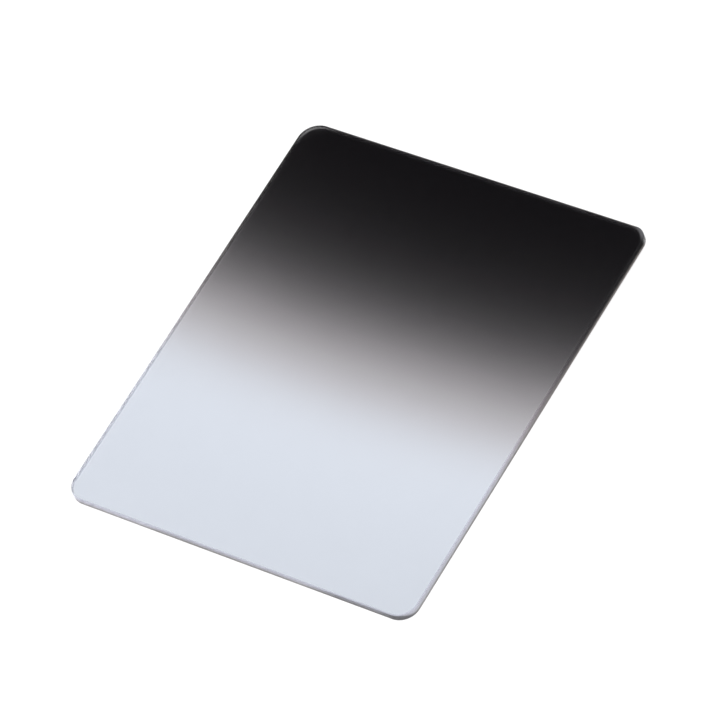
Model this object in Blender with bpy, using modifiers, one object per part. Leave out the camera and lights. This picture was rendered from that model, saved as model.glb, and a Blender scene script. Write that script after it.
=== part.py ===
"""Graduated neutral density filter plate: one flat plate of optical glass with rounded corners.

The plate lies on its large face. X is its width, Y its length with the dark end at +Y, Z its thickness.
The origin is the centre of the underside. Units are metres.
"""

import math

import bmesh
import bpy

# Driving dimensions
WIDTH = 0.084  # across the plate, the size that slides into a holder
LENGTH = 0.100  # along the gradient
THICKNESS = 0.002
CORNER_RADIUS = 0.004  # of the four corners, seen from above
ARRIS = 0.0002  # leg of the ground arris along both rims
CORNER_STEPS = 18  # facets in each rounded corner
ARRIS_STEPS = 3  # facets across each arris

# Gradient, as places along the length from the clear end (0) to the dark end (1)
CLEAR_UNTIL = 0.42
DARK_FROM = 1.0
CLEAR_GLASS = (0.80, 0.84, 0.88, 1.0)
DARK_GLASS = (0.09, 0.085, 0.095, 1.0)

GLASS_IOR = 1.52
GLASS_ROUGHNESS = 0.02

PLATE_NAME = "filter_plate"
COLLECTION_NAME = "graduated_filter"


def clear_scene():
    for obj in list(bpy.data.objects):
        bpy.data.objects.remove(obj, do_unlink=True)
    for collection in list(bpy.data.collections):
        bpy.data.collections.remove(collection)


def make_collection(name):
    collection = bpy.data.collections.new(name)
    bpy.context.scene.collection.children.link(collection)
    return collection


def graduated_glass(name):
    """Clear glass at one end that darkens evenly to neutral grey at the other."""
    material = bpy.data.materials.new(name)
    material.use_nodes = True
    nodes, links = material.node_tree.nodes, material.node_tree.links
    shader = nodes["Principled BSDF"]
    shader.inputs["Roughness"].default_value = GLASS_ROUGHNESS
    shader.inputs["Metallic"].default_value = 0.0
    shader.inputs["IOR"].default_value = GLASS_IOR
    shader.inputs["Transmission Weight"].default_value = 1.0
    place = nodes.new("ShaderNodeTexCoord")
    split = nodes.new("ShaderNodeSeparateXYZ")
    along = nodes.new("ShaderNodeMapRange")
    along.inputs["From Min"].default_value = -LENGTH / 2
    along.inputs["From Max"].default_value = LENGTH / 2
    ramp = nodes.new("ShaderNodeValToRGB")
    ramp.color_ramp.interpolation = "EASE"
    ramp.color_ramp.elements[0].position = CLEAR_UNTIL
    ramp.color_ramp.elements[0].color = CLEAR_GLASS
    ramp.color_ramp.elements[1].position = DARK_FROM
    ramp.color_ramp.elements[1].color = DARK_GLASS
    links.new(place.outputs["Object"], split.inputs[0])
    links.new(split.outputs["Y"], along.inputs["Value"])
    links.new(along.outputs["Result"], ramp.inputs["Fac"])
    links.new(ramp.outputs["Color"], shader.inputs["Base Color"])
    return material


def plate_blank(name, size, bottom_z=0.0):
    """A plain block of the given size, standing on bottom_z and centred on Z, with its upright edges marked for rounding."""
    mesh = bpy.data.meshes.new(name)
    bm = bmesh.new()
    bmesh.ops.create_cube(bm, size=1.0)
    bmesh.ops.scale(bm, vec=size, verts=bm.verts)
    bmesh.ops.translate(bm, vec=(0.0, 0.0, bottom_z + size[2] / 2), verts=bm.verts)
    weight = bm.edges.layers.float.new("bevel_weight_edge")
    for edge in bm.edges:
        rise = abs(edge.verts[0].co.z - edge.verts[1].co.z)
        edge[weight] = 1.0 if rise > size[2] / 2 else 0.0
    bm.to_mesh(mesh)
    bm.free()
    return bpy.data.objects.new(name, mesh)


def round_corners(obj, radius, steps):
    corners = obj.modifiers.new("round_corners", "BEVEL")
    corners.limit_method = "WEIGHT"
    corners.offset_type = "OFFSET"
    corners.width = radius
    corners.segments = steps
    corners.profile = 0.5
    corners.use_clamp_overlap = False


def grind_arris(obj, leg, steps):
    """Takes the sharp edge off both rims, all the way round."""
    arris = obj.modifiers.new("grind_arris", "BEVEL")
    arris.limit_method = "ANGLE"
    arris.angle_limit = math.radians(60)
    arris.offset_type = "OFFSET"
    arris.width = leg
    arris.segments = steps
    arris.profile = 0.5
    arris.use_clamp_overlap = False
    arris.harden_normals = False


def main():
    clear_scene()
    bpy.context.scene.unit_settings.system = "METRIC"
    bpy.context.scene.unit_settings.scale_length = 1.0
    parts = make_collection(COLLECTION_NAME)

    plate = plate_blank(PLATE_NAME, (WIDTH, LENGTH, THICKNESS))
    parts.objects.link(plate)
    round_corners(plate, CORNER_RADIUS, CORNER_STEPS)
    grind_arris(plate, ARRIS, ARRIS_STEPS)
    plate.data.materials.append(graduated_glass("graduated_glass"))
    plate.data.shade_smooth()
    plate.data.set_sharp_from_angle(angle=math.radians(35))


main()
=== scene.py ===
import math

import bmesh
import bpy
from mathutils import Matrix, Vector


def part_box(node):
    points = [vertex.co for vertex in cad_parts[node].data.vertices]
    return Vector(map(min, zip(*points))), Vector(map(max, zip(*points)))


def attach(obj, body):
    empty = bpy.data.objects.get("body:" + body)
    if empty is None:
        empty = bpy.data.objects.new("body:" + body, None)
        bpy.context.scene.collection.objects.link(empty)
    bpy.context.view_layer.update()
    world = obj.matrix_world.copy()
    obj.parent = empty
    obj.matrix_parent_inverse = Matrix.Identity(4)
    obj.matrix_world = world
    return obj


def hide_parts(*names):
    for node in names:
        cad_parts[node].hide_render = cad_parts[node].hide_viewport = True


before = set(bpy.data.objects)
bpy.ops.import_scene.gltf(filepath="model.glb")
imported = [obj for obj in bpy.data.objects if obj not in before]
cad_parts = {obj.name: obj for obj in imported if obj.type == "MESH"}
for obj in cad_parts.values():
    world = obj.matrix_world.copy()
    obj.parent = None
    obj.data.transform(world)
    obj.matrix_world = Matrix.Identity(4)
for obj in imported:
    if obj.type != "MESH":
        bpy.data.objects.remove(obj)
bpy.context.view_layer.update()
scene = bpy.context.scene

# ---------------------------------------------------------------- the plate's sizes, read from the frame
LO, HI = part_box("filter_plate")
HALF_W = (HI[0] - LO[0]) / 2
HALF_L = (HI[1] - LO[1]) / 2
MID_X = (HI[0] + LO[0]) / 2
MID_Y = (HI[1] + LO[1]) / 2
BOTTOM, TOP = LO[2], HI[2]
# corner radii as measured in the photograph: near right, far right, far left, near left
CORNERS = (0.0041, 0.0031, 0.0046, 0.0041)
ARRIS = 0.0002           # width of the ground arris round both faces
WIDE_CORNER = (0.0048, 0.0044)   # its inner edge turns the far right corner in a larger arc than the rim, and so it is wider there
CORNER_STEPS = 28
ARRIS_STEPS = 4


# ---------------------------------------------------------------- node helpers
class Nodes:
    """A short way to write a node tree: every call adds one node and gives back its output."""

    def __init__(self, name):
        self.mat = bpy.data.materials.new(name)
        self.mat.use_nodes = True
        self.tree = self.mat.node_tree
        self.tree.nodes.clear()
        self.out = self.tree.nodes.new("ShaderNodeOutputMaterial")

    def new(self, kind, **props):
        n = self.tree.nodes.new(kind)
        for k, v in props.items():
            setattr(n, k, v)
        return n

    def put(self, socket, value):
        if isinstance(value, bpy.types.NodeSocket):
            self.tree.links.new(value, socket)
        else:
            socket.default_value = value

    def math(self, op, a, b=0.0, c=0.0, clamp=False):
        n = self.new("ShaderNodeMath", operation=op, use_clamp=clamp)
        for s, v in zip(n.inputs, (a, b, c)):
            self.put(s, v)
        return n.outputs[0]

    def span(self, value, a, b, to_a, to_b, smooth=False):
        n = self.new("ShaderNodeMapRange", interpolation_type="SMOOTHSTEP" if smooth else "LINEAR")
        for s, v in zip(n.inputs, (value, a, b, to_a, to_b)):
            self.put(s, v)
        return n.outputs[0]

    def scaled(self, vector, scale):
        n = self.new("ShaderNodeMapping")
        self.put(n.inputs["Vector"], vector)
        n.inputs["Scale"].default_value = scale
        return n.outputs[0]

    def noise(self, vector, scale, detail=2.0, rough=0.5, distort=0.0):
        n = self.new("ShaderNodeTexNoise", noise_dimensions="3D")
        self.put(n.inputs["Vector"], vector)
        n.inputs["Scale"].default_value = scale
        n.inputs["Detail"].default_value = detail
        n.inputs["Roughness"].default_value = rough
        n.inputs["Distortion"].default_value = distort
        return n.outputs["Fac"]

    def rgb(self, r, g, b):
        n = self.new("ShaderNodeCombineColor")
        for s, v in zip(n.inputs, (r, g, b)):
            self.put(s, v)
        return n.outputs[0]


def softplus(t, y, at, width):
    """width * ln(1 + e^((y - at) / width)): a ramp that starts softly at `at`."""
    u = t.math("DIVIDE", t.math("SUBTRACT", y, at), width)
    e = t.math("EXPONENT", u)
    return t.math("MULTIPLY", t.math("LOGARITHM", t.math("ADD", e, 1.0), math.e), width)


# The coating as optical density, seen twice (light goes down through the plate to the
# floor and comes back up through it). Distances are millimetres from the clear end.
TOE, TOE_WIDTH = 52.78, 6.11
SHOULDER, SHOULDER_WIDTH = 81.28, 15.51
DEEPEST = 2.507
BOW = 1.35                # the front of the gradient hangs back this far at the long sides
TILT = 0.30               # and this much more at the right one than in the middle
FADE = 0.015              # share of the coating that is missing at the long sides
CLEAR = (0.215, 0.192, 0.141)
GREY = (0.364, 0.387, 0.363)


def density(t):
    """Half of the density seen, for red, green and blue: what one pass through the plate has."""
    where = t.new("ShaderNodeTexCoord").outputs["Object"]
    xyz = t.new("ShaderNodeSeparateXYZ")
    t.put(xyz.inputs[0], where)
    x, y = xyz.outputs[0], xyz.outputs[1]
    y = t.math("MULTIPLY_ADD", y, 1000.0, 50.0)
    x = t.math("MULTIPLY", x, 1 / 0.038)
    across = t.math("POWER", x, 2.0)
    y = t.math("MULTIPLY_ADD", across, -BOW, t.math("MULTIPLY_ADD", x, -TILT, y))
    drift = t.noise(where, 45.0, 2.0)
    y = t.math("MULTIPLY_ADD", t.math("SUBTRACT", drift, 0.5), 0.9, y)
    ramp = t.math("SUBTRACT", softplus(t, y, TOE, TOE_WIDTH), softplus(t, y, SHOULDER, SHOULDER_WIDTH))
    ramp = t.math("MULTIPLY", ramp, t.math("MULTIPLY", t.math("MULTIPLY_ADD", across, -FADE, 1.0), DEEPEST / (SHOULDER - TOE)))
    mix = t.math("DIVIDE", 1.0, t.math("ADD", t.math("EXPONENT", t.math("DIVIDE", t.math("SUBTRACT", 42.38, y), 4.08)), 1.0))
    cloud = t.math("MULTIPLY_ADD", t.noise(where, 160.0, 3.0, 0.6), 0.012, -0.006)
    # painted shade: the coating is made denser towards the right side and thinner towards the left, most at the clear
    # end, for light falling off across the plate
    painted_falloff = t.math("MULTIPLY", x, t.span(y, 0.0, 34.0, 0.011, 0.002))
    cloud = t.math("ADD", cloud, painted_falloff)
    # the coating is made thinner over the rim of the far left corner; this lightens the glint seen there, a painted
    # highlight
    r = CORNERS[2]
    off = t.math("POWER", t.math("ADD", t.math("POWER", t.math("ADD", xyz.outputs[0], HALF_W - r), 2.0),
                                 t.math("POWER", t.math("SUBTRACT", xyz.outputs[1], HALF_L - r), 2.0)), 0.5)
    glint_thinning = t.math("MULTIPLY", t.span(off, r - 0.0018, r - 0.0012, 0.0, 1.0, smooth=True), t.math("MULTIPLY",
                  t.span(xyz.outputs[0], r - HALF_W - 0.0012, r - HALF_W + 0.0008, 1.0, 0.0, smooth=True),
                  t.span(xyz.outputs[1], HALF_L - r - 0.0008, HALF_L - r + 0.0012, 0.0, 1.0, smooth=True)))
    keep = t.math("MULTIPLY_ADD", glint_thinning, -0.16, 1.0)
    out = []
    for clear, grey in zip(CLEAR, GREY):
        base = t.math("MULTIPLY_ADD", mix, grey - clear, clear)
        d = t.math("ADD", t.math("ADD", base, ramp), cloud)
        out.append(t.math("MAXIMUM", t.math("MULTIPLY", t.math("MULTIPLY", d, keep), 0.5), 0.0))
    return where, out


def light_and_look(t, look, shadow_colour):
    """The look for what a camera, a mirror or clear glass sees. Lamp light and light off a matt surface pass
    straight through, with the tint of one face."""
    clear = t.new("ShaderNodeBsdfTransparent")
    t.put(clear.inputs["Color"], shadow_colour)
    path = t.new("ShaderNodeLightPath")
    mix = t.new("ShaderNodeMixShader")
    t.put(mix.inputs[0], t.math("MAXIMUM", path.outputs["Is Shadow Ray"], path.outputs["Is Diffuse Ray"]))
    t.put(mix.inputs[1], look)
    t.put(mix.inputs[2], clear.outputs[0])
    t.put(t.out.inputs["Surface"], mix.outputs[0])


def face_material():
    t = Nodes("graduated_glass_polished")
    where, dens = density(t)
    through = t.rgb(*[t.math("POWER", 10.0, t.math("MULTIPLY", d, -1.0)) for d in dens])
    one_face = t.rgb(*[t.math("POWER", 10.0, t.math("MULTIPLY", d, -0.5)) for d in dens])
    bsdf = t.new("ShaderNodeBsdfPrincipled")
    t.put(bsdf.inputs["Base Color"], through)
    bsdf.inputs["Metallic"].default_value = 0.0
    bsdf.inputs["IOR"].default_value = 1.52
    bsdf.inputs["Transmission Weight"].default_value = 1.0
    # an anti-reflection coating: the mirror that is left is weak and slightly blue
    bsdf.inputs["Specular Tint"].default_value = (0.62, 0.52, 0.72, 1.0)
    haze = t.noise(where, 70.0, 4.0, 0.6)
    t.put(bsdf.inputs["Roughness"], t.span(haze, 0.35, 0.75, 0.004, 0.022))
    light_and_look(t, bsdf.outputs[0], one_face)
    return t.mat


def edge_colour(t, where, dens, rows):
    """Colours of the uncoated edge, painted with the coated face's grey as painted shade. Each row is (power, share,
    added): the face's own grey to that power, times the share, plus the added grey, for each channel."""
    out = []
    for power, share, added in rows:
        row = []
        for d, k, base in zip(dens, share, added):
            seen = t.math("POWER", 10.0, t.math("MULTIPLY", d, -2.0 * power))
            row.append(t.math("MULTIPLY_ADD", seen, k, base))
        out.append(row)
    return out


def blend(t, a, b, factor):
    """a where factor is 0, b where it is 1, for numbers or for lists of channels."""
    if isinstance(a, list):
        return [blend(t, x, y, factor) for x, y in zip(a, b)]
    keep = t.math("SUBTRACT", 1.0, factor)
    return t.math("ADD", t.math("MULTIPLY", a, keep), t.math("MULTIPLY", b, factor))


def corners(t, xyz):
    """Masks for the rounded corners: the two of the dark end, which get a painted glint, the near left one of the
    clear end, which is painted paler, and for its near right one how much of it has a painted dark patch and up to
    which height in millimetres. All are 0 along the straight sides."""
    x, y = xyz.outputs[0], xyz.outputs[1]
    on_right = t.math("GREATER_THAN", x, 0.0)
    start, full = blend(t, [0.0335, 0.0395], [0.0378, 0.0408], on_right)
    far = t.math("MULTIPLY", t.span(t.math("ABSOLUTE", x), start, full, 0.0, 1.0, smooth=True),
                 t.span(y, 0.0438, 0.0478, 0.0, 1.0, smooth=True))
    # the tighter right one is clear only on its curve
    far = t.math("MULTIPLY", far, blend(t, 1.0, t.span(y, 0.0468, 0.0486, 0.0, 1.0, smooth=True), on_right))
    left = t.math("MULTIPLY", t.span(x, -0.0400, -0.0370, 1.0, 0.0, smooth=True), t.span(y, -0.0485, -0.0458, 1.0, 0.0, smooth=True))
    dim = t.span(x, 0.0342, 0.0386, 0.0, 1.0, smooth=True)
    shade_height = t.span(y, CORNERS[0] - HALF_L, -HALF_L, 0.0, 1.85)
    return far, left, dim, shade_height


def far_side(t, xyz):
    """1 on the two sides that meet in the far left corner, 0 on the two that meet in the near right one."""
    q = t.math("SUBTRACT", t.math("MULTIPLY", xyz.outputs[1], 1 / HALF_L), t.math("MULTIPLY", xyz.outputs[0], 1 / HALF_W + 0.39))
    return t.span(q, -0.015, 0.015, 0.0, 1.0, smooth=True)


def wall_material():
    """The side wall, ground to a satin finish. Its colour is painted with the grey of the coating above it, as
    painted shade for the light that reaches it through the coating. Along its foot it is painted lighter where the
    coating is dark, as light from the lit floor next to it, and painted darker along the near sides where the plate
    is clear. It is clearer in the corners, with a painted glint in the two far ones and a painted dark patch low in
    the near right one."""
    t = Nodes("graduated_glass_ground_wall")
    where, dens = density(t)
    xyz = t.new("ShaderNodeSeparateXYZ")
    t.put(xyz.inputs[0], where)
    far, left, dim, shade_height = corners(t, xyz)
    away = far_side(t, xyz)
    grain = t.noise(t.scaled(where, (1.0, 1.0, 14.0)), 900.0, 3.0, 0.65)
    streak = t.noise(t.scaled(where, (1.0, 1.0, 60.0)), 110.0, 3.0, 0.6)
    height = t.math("MULTIPLY_ADD", xyz.outputs[2], 1000.0, t.math("MULTIPLY", t.math("SUBTRACT", streak, 0.5), 0.25))
    # painted light and shade along the foot of the wall: lighter where the coating is dark, darker along the near
    # sides where it is clear
    foot = t.span(height, FOOT_TOP - 0.55, FOOT_TOP + 0.55, 1.0, 0.0, smooth=True)
    # painted shade: a dark patch low in the near right corner, reaching highest along the side at the clear end
    dim = t.math("MULTIPLY", dim, t.span(t.math("SUBTRACT", shade_height, height), -0.55, 0.45, 0.0, 1.0, smooth=True))
    # painted shade: the side at the clear end is dimmer towards its right corner; painted light: the two far sides
    # are a little paler, and the near left corner paler still
    end = t.span(xyz.outputs[1], -0.0485, -0.0460, 1.0, 0.0, smooth=True)
    shade = t.math("MULTIPLY", end, t.span(xyz.outputs[0], 0.016, 0.026, 0.05, 0.50, smooth=True))
    shade = t.math("MULTIPLY", shade, t.span(xyz.outputs[0], 0.0398, 0.0414, 1.0, 0.0, smooth=True))
    paler = t.math("ADD", t.math("MULTIPLY", away, 0.12), t.math("MULTIPLY", left, 0.30))
    upper, lower, lower_away, clear, dark = edge_colour(t, where, dens, (
        (0.885, WALL_UPPER, (0, 0, 0)), (1.0, WALL_FOOT_FALL, WALL_FOOT), (1.0, WALL_FOOT_RISE, WALL_FOOT),
        (1.0, (0, 0, 0), FAR_CORNER_GLINT), (1.0, (0, 0, 0), NEAR_CORNER_SHADE)))
    lower = blend(t, lower, lower_away, away)
    level = t.math("MULTIPLY", t.math("ADD", paler, 1.0), t.math("SUBTRACT", 1.0, shade))
    colour = [t.math("MULTIPLY", c, level) for c in blend(t, upper, lower, foot)]
    # painted glint: at the far left corner its pale colour fades higher up the wall
    glint_height_fade = blend(t, t.span(height, 0.35, 0.9, 1.0, 0.3, smooth=True), 1.0, t.math("GREATER_THAN", xyz.outputs[0], 0.0))
    clear = [t.math("MULTIPLY", c, glint_height_fade) for c in clear]
    # the far corners take their painted glint colour, the near right one its painted dark patch
    colour = blend(t, blend(t, colour, clear, far), dark, dim)
    speck = t.span(grain, 0.3, 0.7, 0.96, 1.04)
    bsdf = t.new("ShaderNodeBsdfPrincipled")
    t.put(bsdf.inputs["Base Color"], t.rgb(*[t.math("MULTIPLY", c, speck) for c in colour]))
    bsdf.inputs["IOR"].default_value = WALL_IOR
    t.put(bsdf.inputs["Transmission Weight"], blend(t, WALL_CLEAR, CORNER_CLEAR, far))
    bsdf.inputs["Specular IOR Level"].default_value = 0.3
    t.put(bsdf.inputs["Roughness"], t.math("MULTIPLY", t.span(grain, 0.3, 0.7, 0.36, 0.50), blend(t, 1.0, 0.5, far)))
    bump = t.new("ShaderNodeBump")
    bump.inputs["Strength"].default_value = 0.35
    bump.inputs["Distance"].default_value = 0.00002
    t.put(bump.inputs["Height"], grain)
    t.put(bsdf.inputs["Normal"], bump.outputs[0])
    light_and_look(t, bsdf.outputs[0], t.rgb(0.85, 0.85, 0.85))
    return t.mat


def arris_material():
    """The narrow arris along both rims: bare glass with a fine grain, without the coating that the faces have. Its
    colour is painted with the coating's grey as painted shade, with a painted reflection on the upper arris of the
    far sides and painted glints in the far corners.
    """
    t = Nodes("graduated_glass_arris")
    where, dens = density(t)
    xyz = t.new("ShaderNodeSeparateXYZ")
    t.put(xyz.inputs[0], where)
    far = corners(t, xyz)[0]
    away = far_side(t, xyz)
    below = t.math("LESS_THAN", xyz.outputs[2], 0.001)
    grain = t.noise(where, 1400.0, 3.0, 0.6)
    near_upper, far_upper_reflection, lower, pale, clear = edge_colour(t, where, dens, (
        (1.0, ARRIS_UPPER, ARRIS_BASE), (0.3, ARRIS_FAR_REFLECTION, ARRIS_BASE), (1.0, ARRIS_LOWER, ARRIS_BASE),
        (1.0, ARRIS_UPPER, ARRIS_CORNER_GLINT), (1.0, (0, 0, 0), FAR_CORNER_GLINT)))
    upper = blend(t, near_upper, far_upper_reflection, away)
    # painted glint: the wide arris of the far right corner is painted pale, and darkens softly towards the face
    right = t.math("GREATER_THAN", xyz.outputs[0], 0.0)
    soft = t.span(xyz.outputs[2], TOP, TOP - 0.35 * ARRIS, 0.15, 1.0, smooth=True)
    pale = blend(t, near_upper, pale, t.math("MULTIPLY", right, soft))
    colour = blend(t, blend(t, upper, pale, far), blend(t, lower, clear, far), below)
    speck = t.span(grain, 0.3, 0.7, 0.97, 1.03)
    bsdf = t.new("ShaderNodeBsdfPrincipled")
    t.put(bsdf.inputs["Base Color"], t.rgb(*[t.math("MULTIPLY", c, speck) for c in colour]))
    bsdf.inputs["IOR"].default_value = 1.52
    t.put(bsdf.inputs["Transmission Weight"], blend(t, ARRIS_CLEAR, CORNER_CLEAR, t.math("MULTIPLY", far, below)))
    t.put(bsdf.inputs["Roughness"], t.span(grain, 0.3, 0.7, 0.08, 0.16))
    bsdf.inputs["Coat Weight"].default_value = ARRIS_COAT
    bsdf.inputs["Coat IOR"].default_value = 1.8
    bsdf.inputs["Coat Roughness"].default_value = 0.08
    bump = t.new("ShaderNodeBump")
    bump.inputs["Strength"].default_value = 0.2
    bump.inputs["Distance"].default_value = 0.00001
    t.put(bump.inputs["Height"], grain)
    t.put(bsdf.inputs["Normal"], bump.outputs[0])
    light_and_look(t, bsdf.outputs[0], t.rgb(0.9, 0.9, 0.9))
    return t.mat


WALL_IOR = 1.08
WALL_CLEAR = 0.5
CORNER_CLEAR = 0.95
WALL_UPPER = (1.04, 0.98, 0.99)
# painted light and painted shade along the wall's foot: lighter where the coating is dark, and along the near sides
# darker where it is clear
WALL_FOOT = (0.42, 0.385, 0.37)
WALL_FOOT_FALL = (-0.22, -0.20, -0.19)    # along the near sides, times the grey
WALL_FOOT_RISE = (0.30, 0.31, 0.34)        # along the far ones
# painted glint: the pale colour of the two far corners, where the wall and lower arris are also clearer glass
FAR_CORNER_GLINT = (0.95, 0.95, 0.97)
# painted shade: the colour of the dark patch low in the near right corner
NEAR_CORNER_SHADE = (0.135, 0.13, 0.135)
FOOT_TOP = 0.75           # mm above the floor
ARRIS_CLEAR = 0.4
ARRIS_COAT = 1.0
ARRIS_UPPER = (0.85, 0.83, 0.85)
# painted reflection: the upper arris of the far sides is lighter where the coating is dark
ARRIS_FAR_REFLECTION = (0.38, 0.37, 0.38)
ARRIS_LOWER = (0.85, 0.85, 0.85)
ARRIS_BASE = (0.004, 0.004, 0.005)
# painted glint on the wide arris of the far right corner
ARRIS_CORNER_GLINT = (0.14, 0.14, 0.15)

# ---------------------------------------------------------------- the plate's mesh
def outline(inset, wide=0.0):
    """The rounded rectangle `inset` inside the plate's outline, counter-clockwise, always with the same points.
    `wide` takes the far right corner from its own arc (0) to the inner edge of the wider arris there (1)."""
    ring = []
    for quarter, (sx, sy) in enumerate(((1, -1), (1, 1), (-1, 1), (-1, -1))):
        corner = CORNERS[quarter]
        r = corner - inset
        cx, cy = sx * (HALF_W - corner), sy * (HALF_L - corner)
        for k in range(CORNER_STEPS + 1):
            a = math.radians(-90 + 90 * quarter + 90 * k / CORNER_STEPS)
            c, s = math.cos(a), math.sin(a)
            x, y = cx + r * c, cy + r * s
            if wide and quarter == 1:
                inner_x = HALF_W - ARRIS - WIDE_CORNER[0] * (1 - c)
                inner_y = HALF_L - ARRIS - WIDE_CORNER[1] * (1 - s)
                outer_x, outer_y = cx + corner * c, cy + corner * s
                x, y = outer_x + (inner_x - outer_x) * wide, outer_y + (inner_y - outer_y) * wide
            ring.append((x, y))
    return ring


def make_plate():
    bm = bmesh.new()
    # rings from the middle of the upper face, over the edge, to the middle of the underside
    rings = [(2.4e-3, TOP, 0), (1.6e-3, TOP, 0), (ARRIS, TOP, 0, 1.0)]
    for k in range(1, ARRIS_STEPS + 1):
        left = 1 - k / ARRIS_STEPS
        rings.append((ARRIS * left, TOP - ARRIS * (1 - left), 2, left))
    for k in (0.25, 0.5, 0.75, 1.0):
        rings.append((0.0, TOP - ARRIS - (TOP - BOTTOM - 2 * ARRIS) * k, 1))
    for k in range(1, ARRIS_STEPS + 1):
        rings.append((ARRIS * k / ARRIS_STEPS, BOTTOM + ARRIS * (1 - k / ARRIS_STEPS), 2))
    rings += [(1.6e-3, BOTTOM, 0), (2.4e-3, BOTTOM, 0)]
    loops = []
    for inset, z, _, *wide in rings:
        loops.append([bm.verts.new((MID_X + x, MID_Y + y, z)) for x, y in outline(inset, *wide)])
    n = len(loops[0])
    for k in range(1, len(loops)):
        a, b = loops[k - 1], loops[k]
        for i in range(n):
            j = (i + 1) % n
            f = bm.faces.new((a[i], b[i], b[j], a[j]))
            f.material_index = rings[k][2]
    # the flat middles, closed with one face each
    bm.faces.new(list(loops[0])).material_index = 0
    bm.faces.new(list(reversed(loops[-1]))).material_index = 0
    bmesh.ops.recalc_face_normals(bm, faces=bm.faces[:])
    for f in bm.faces:
        f.smooth = True
    for e in bm.edges:
        if len({f.material_index for f in e.link_faces}) == 2:
            e.smooth = False
    mesh = bpy.data.meshes.new("graduated_plate")
    bm.to_mesh(mesh)
    bm.free()
    ob = bpy.data.objects.new("graduated_plate", mesh)
    scene.collection.objects.link(ob)
    mesh.materials.append(face_material())
    mesh.materials.append(wall_material())
    mesh.materials.append(arris_material())
    return ob


plate = make_plate()
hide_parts("filter_plate")
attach(plate, "root")


# ---------------------------------------------------------------- floor and backdrop
def make_floor():
    t = Nodes("studio_paper")
    where = t.new("ShaderNodeTexCoord").outputs["Object"]
    fibre = t.noise(where, 900.0, 4.0, 0.6)
    cloud = t.noise(where, 3.0, 2.0)
    bsdf = t.new("ShaderNodeBsdfPrincipled")
    level = t.math("ADD", t.span(fibre, 0.3, 0.7, 0.838, 0.846), t.span(cloud, 0.3, 0.7, -0.003, 0.003))
    t.put(bsdf.inputs["Base Color"], t.rgb(level, level, level))
    bsdf.inputs["Specular IOR Level"].default_value = 0.1
    t.put(bsdf.inputs["Roughness"], t.span(fibre, 0.3, 0.7, 0.85, 0.95))
    t.put(t.out.inputs["Surface"], bsdf.outputs[0])
    bm = bmesh.new()
    profile = [(0.0, 0.0), (0.25, 0.0), (0.8, 0.0), (1.25, 0.0)]
    for k in range(1, 17):
        a = math.radians(35 * k / 16)
        profile.append((1.25 + 0.7 * math.sin(a), 0.7 * (1 - math.cos(a))))
    profile.append((profile[-1][0] + 0.25, profile[-1][1] + 0.25 * math.tan(math.radians(35))))
    steps = 96
    z0 = BOTTOM - 0.0001
    rings = []
    for r, z in profile:
        if r == 0:
            rings.append([bm.verts.new((0, 0, z0))])
        else:
            rings.append([bm.verts.new((r * math.cos(2 * math.pi * i / steps), r * math.sin(2 * math.pi * i / steps), z0 + z)) for i in range(steps)])
    for a, b in zip(rings, rings[1:]):
        for i in range(steps):
            j = (i + 1) % steps
            bm.faces.new((a[0], b[i], b[j]) if len(a) == 1 else (a[i], b[i], b[j], a[j])).smooth = True
    mesh = bpy.data.meshes.new("studio_floor")
    bm.to_mesh(mesh)
    bm.free()
    ob = bpy.data.objects.new("studio_floor", mesh)
    mesh.materials.append(t.mat)
    scene.collection.objects.link(ob)


make_floor()


# ---------------------------------------------------------------- light
def softbox(name, where, aim, size, watts, colour=(1, 1, 1)):
    lamp = bpy.data.lights.new(name, "AREA")
    lamp.shape = "RECTANGLE"
    lamp.size, lamp.size_y = size
    lamp.energy = watts
    lamp.color = colour
    ob = bpy.data.objects.new(name, lamp)
    ob.location = where
    ob.rotation_mode = "QUATERNION"
    ob.rotation_quaternion = (Vector(aim) - Vector(where)).to_track_quat("-Z", "Y")
    scene.collection.objects.link(ob)
    return ob


softbox("overhead_softbox", (0.42, -0.34, 2.7), (0, 0, 0), (2.0, 2.0), 108.0)

# the room: pale walls low down, a dim ceiling above them
world = bpy.data.worlds.new("studio")
world.use_nodes = True
wt = world.node_tree
bg = wt.nodes["Background"]
bg.inputs["Color"].default_value = (1.0, 1.0, 1.0, 1.0)
way = wt.nodes.new("ShaderNodeTexCoord")
split = wt.nodes.new("ShaderNodeSeparateXYZ")
fall = wt.nodes.new("ShaderNodeMapRange")
fall.interpolation_type = "SMOOTHSTEP"
for s, v in zip(list(fall.inputs)[1:5], (0.12, 0.45, 0.6, 0.10)):
    s.default_value = v
wt.links.new(way.outputs["Generated"], split.inputs[0])
wt.links.new(split.outputs["Z"], fall.inputs["Value"])
wt.links.new(fall.outputs[0], bg.inputs["Strength"])
scene.world = world
scene.view_settings.view_transform = "Standard"
scene.view_settings.look = "None"
scene.view_settings.exposure = 0.0
scene.view_settings.gamma = 1.0
# lamps reach what is under the glass through the materials' own shadow colour, so no second way through
scene.cycles.caustics_refractive = False
scene.cycles.max_bounces = 24
scene.cycles.glossy_bounces = 16
scene.cycles.transmission_bounces = 24

# ---------------------------------------------------------------- camera, at the photograph's viewing angle
cam_data = bpy.data.cameras.new("camera")
cam_data.sensor_width = 36.0
cam_data.lens = 287.8018
cam_data.clip_start, cam_data.clip_end = 0.05, 20.0
camera = bpy.data.objects.new("camera", cam_data)
RIGHT = Vector((0.8286252, 0.4952448, -0.2609844))
UP = Vector((-0.2866980, 0.7758578, 0.5620043))
BACK = Vector((0.4808165, -0.3908672, 0.7848811))
turn = Matrix((RIGHT, UP, BACK)).transposed()
camera.rotation_mode = "QUATERNION"
camera.rotation_quaternion = turn.to_quaternion()
camera.location = (0.557132, -0.452249, 0.912422)
scene.collection.objects.link(camera)
scene.camera = camera
